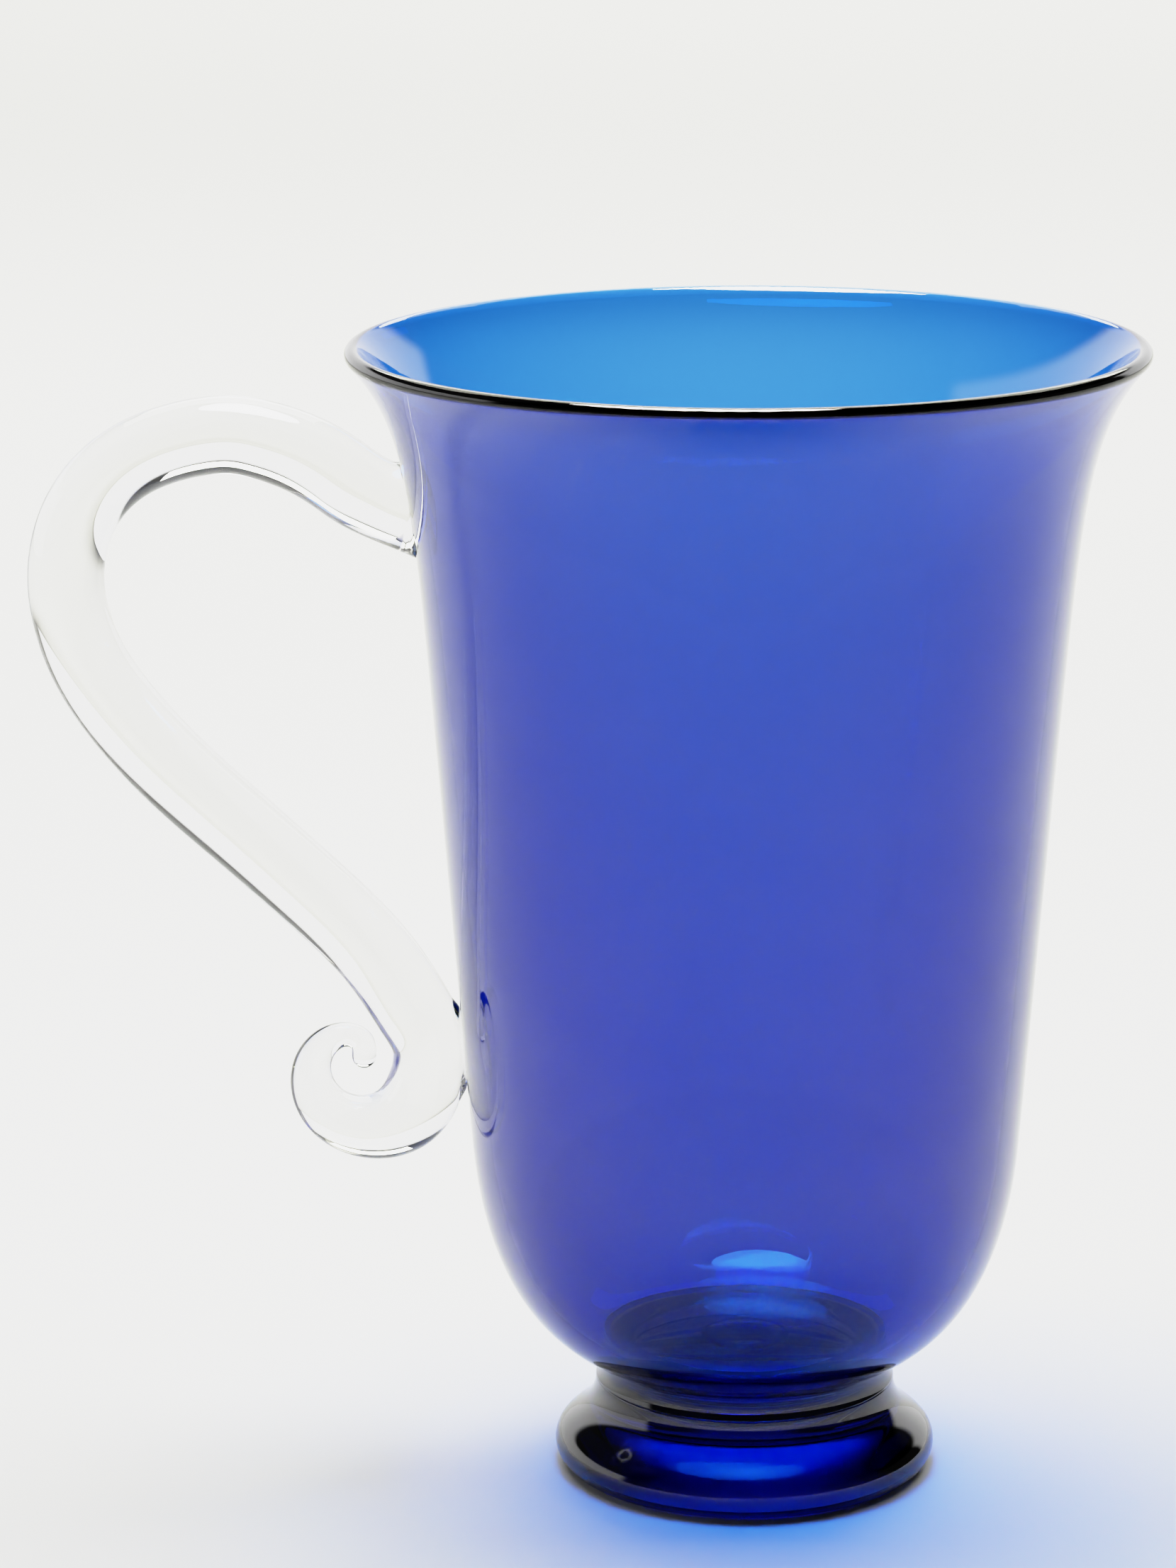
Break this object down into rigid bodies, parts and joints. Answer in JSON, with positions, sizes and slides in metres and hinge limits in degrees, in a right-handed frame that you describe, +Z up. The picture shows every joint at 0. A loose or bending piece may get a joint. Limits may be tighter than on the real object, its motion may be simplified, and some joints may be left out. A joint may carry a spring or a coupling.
{
  "type": "footed glass mug",
  "caption": "Blown glass cup: flared cobalt bowl on a waisted neck and hollow bell foot, with a clear rod handle that arches out and curls into a scroll.",
  "frame": {"origin": "centre of the foot's resting ring, on the table", "axes": "+Z up along the axis of the bowl and foot, -X towards the handle, +Y away from the viewer when the handle is on the left"},
  "size_m": [0.1342, 0.0956, 0.14],
  "materials": {
    "cobalt_glass": "clear, fire-polished",
    "clear_glass": "clear, fire-polished"
  },
  "bodies": {
    "root": {"bowl": "cobalt_glass", "neck_ring": "cobalt_glass", "foot": "cobalt_glass", "pontil_mark": "cobalt_glass", "handle": "clear_glass"}
  },
  "joints": []
}
